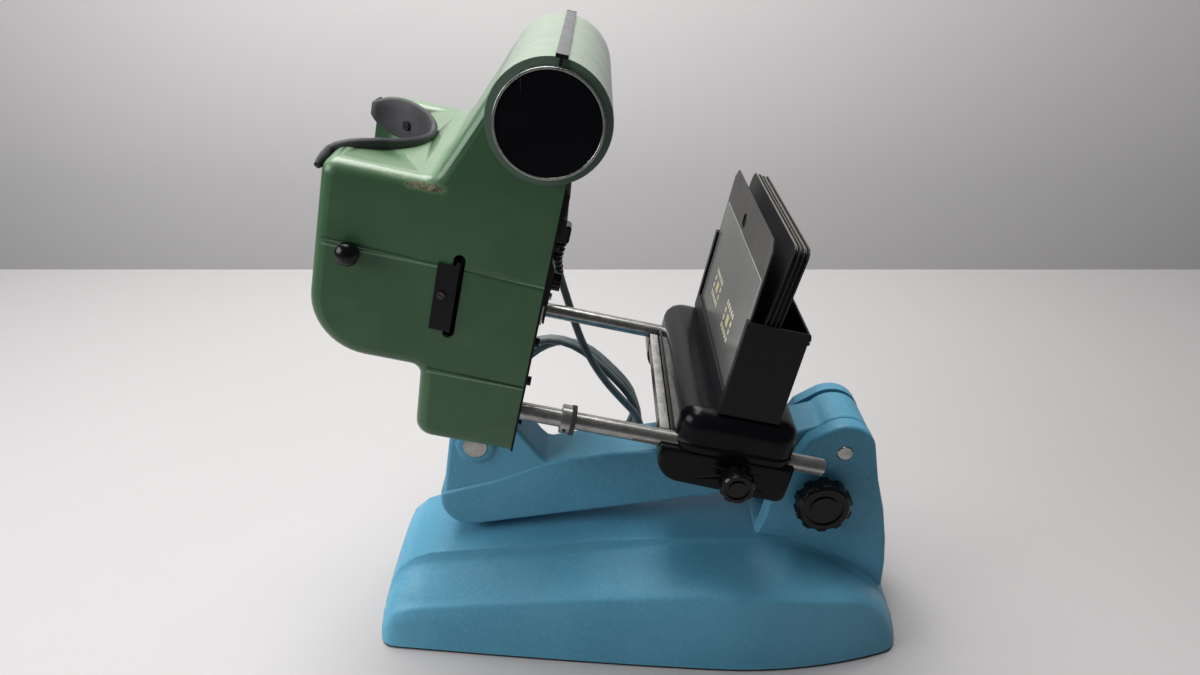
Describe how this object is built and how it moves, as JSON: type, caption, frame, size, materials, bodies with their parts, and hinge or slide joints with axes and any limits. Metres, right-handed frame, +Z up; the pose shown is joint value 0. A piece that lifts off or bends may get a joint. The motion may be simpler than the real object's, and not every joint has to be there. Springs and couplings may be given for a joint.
{
  "type": "vision testing machine",
  "caption": "Desk-top stereoscopic vision tester: lens head with lamp hood and brow rest on a swing arm, and a card holder sliding on two rods.",
  "frame": {"origin": "on the underside of the base pad, midway between the base's two ends and its two sides", "axes": "+X from the patient's side towards the test cards, +Y towards the side with the mains cord, +Z up"},
  "size_m": [0.4346, 0.2853, 0.4804],
  "materials": {
    "blue_paint": "gloss enamel",
    "green_paint": "satin enamel",
    "black_paint": "hammered enamel",
    "black_plate": "satin",
    "black_plastic": "moulded",
    "rubber": "matt",
    "steel": "worn",
    "chrome": "polished",
    "grey_strip": "satin",
    "bronze": "dull",
    "grey_frame": "rough",
    "white_metal": "gloss",
    "lens_glass": "clear",
    "bulb_glass": "frosted",
    "card": "matt",
    "cord": "matt"
  },
  "bodies": {
    "base": {"base_casting": "blue_paint", "base_pad": "rubber", "arm_pin": "steel", "clamp_nut": "steel"},
    "arm_clamp": {"clamp_stud": "steel", "arm_clamp_knob": "black_plastic"},
    "arm": {"arm_casting": "blue_paint", "hub_bush": "bronze", "tilt_pin": "steel", "pivot_washers": "bronze"},
    "near_occluder": {"near_occluder_knob": "black_plastic", "near_occluder": "black_plate"},
    "far_occluder": {"far_occluder_knob": "black_plastic", "far_occluder": "black_plate"},
    "near_slide": {"near_lens_slide": "black_plate", "slide_screw_near": "steel"},
    "far_slide": {"far_lens_slide": "black_plate", "slide_screw_far": "steel"},
    "carriage": {"carriage_cover": "black_paint", "carriage_body": "black_paint", "carriage_screws": "steel", "front_bar": "steel", "rod_bushes": "bronze", "card_box": "black_plate", "card_spring": "steel", "spring_screws": "black_plate"},
    "carriage_clamp": {"carriage_clamp_stud": "steel", "carriage_clamp_knob": "black_plastic"},
    "front_card": {"front_card": "card"},
    "card_pack": {"card_pack": "card"},
    "head": {"head_frame": "grey_frame", "head_casing": "green_paint", "back_plate": "black_plate", "plate_screws": "black_plate", "brow_rest": "rubber", "brow_screws": "black_plate", "septum": "black_plate", "lens_cells": "black_plastic", "lenses": "lens_glass", "lamp_hood": "green_paint", "end_caps": "black_plastic", "cap_rims": "chrome", "seam_strip": "grey_strip", "strip_clips": "black_plate", "reflector": "white_metal", "lamp_sockets": "black_plastic", "lamp_bulbs": "bulb_glass", "back_bracket": "black_plate", "bracket_nut": "black_plastic", "pointer": "steel", "latch_plates": "black_plate", "near_rod": "steel", "far_rod": "steel", "stop_collar": "steel", "collar_washer": "rubber", "cord_clamp": "black_plastic", "cord": "cord", "cord_coil": "cord", "plug": "black_plastic", "plug_pins": "steel"}
  },
  "joints": [
    {"name": "arm_lift", "type": "hinge", "parent": "base", "child": "arm", "pos_m": [0.162, 0, 0.165], "axis": [0, 1, 0], "range_deg": [0, 35]},
    {"name": "head_tilt", "type": "hinge", "parent": "arm", "child": "head", "pos_m": [-0.131, 0, 0.162], "axis": [0, -1, 0], "range_deg": [0, 20]},
    {"name": "arm_clamp_turn", "type": "hinge", "parent": "base", "child": "arm_clamp", "pos_m": [0.14623, 0, 0.12392], "axis": [0, -1, 0], "range_deg": [0, 360]},
    {"name": "near_occluder_turn", "type": "hinge", "parent": "head", "child": "near_occluder", "pos_m": [-0.18994, 0, 0.35823], "axis": [0, 1, 0], "range_deg": [0, 36]},
    {"name": "far_occluder_turn", "type": "hinge", "parent": "head", "child": "far_occluder", "pos_m": [-0.18994, 0, 0.35823], "axis": [0, 1, 0], "range_deg": [0, 36]},
    {"name": "near_slide_out", "type": "slide", "parent": "head", "child": "near_slide", "axis": [0, -1, 0], "range_m": [0, 0.055]},
    {"name": "far_slide_out", "type": "slide", "parent": "head", "child": "far_slide", "axis": [0, 1, 0], "range_m": [0, 0.055]},
    {"name": "carriage_slide", "type": "slide", "parent": "head", "child": "carriage", "axis": [0.9767, 0, -0.2147], "range_m": [-0.058, 0.012]},
    {"name": "carriage_clamp_turn", "type": "hinge", "parent": "carriage", "child": "carriage_clamp", "pos_m": [0.06516, 0, 0.18798], "axis": [0, -1, 0], "range_deg": [0, 360]},
    {"name": "front_card_lift", "type": "slide", "parent": "carriage", "child": "front_card", "axis": [0.2147, 0, 0.9767], "range_m": [0, 0.075]},
    {"name": "card_pack_lift", "type": "slide", "parent": "carriage", "child": "card_pack", "axis": [0.274, 0, 0.9617], "range_m": [0, 0.075]}
  ]
}
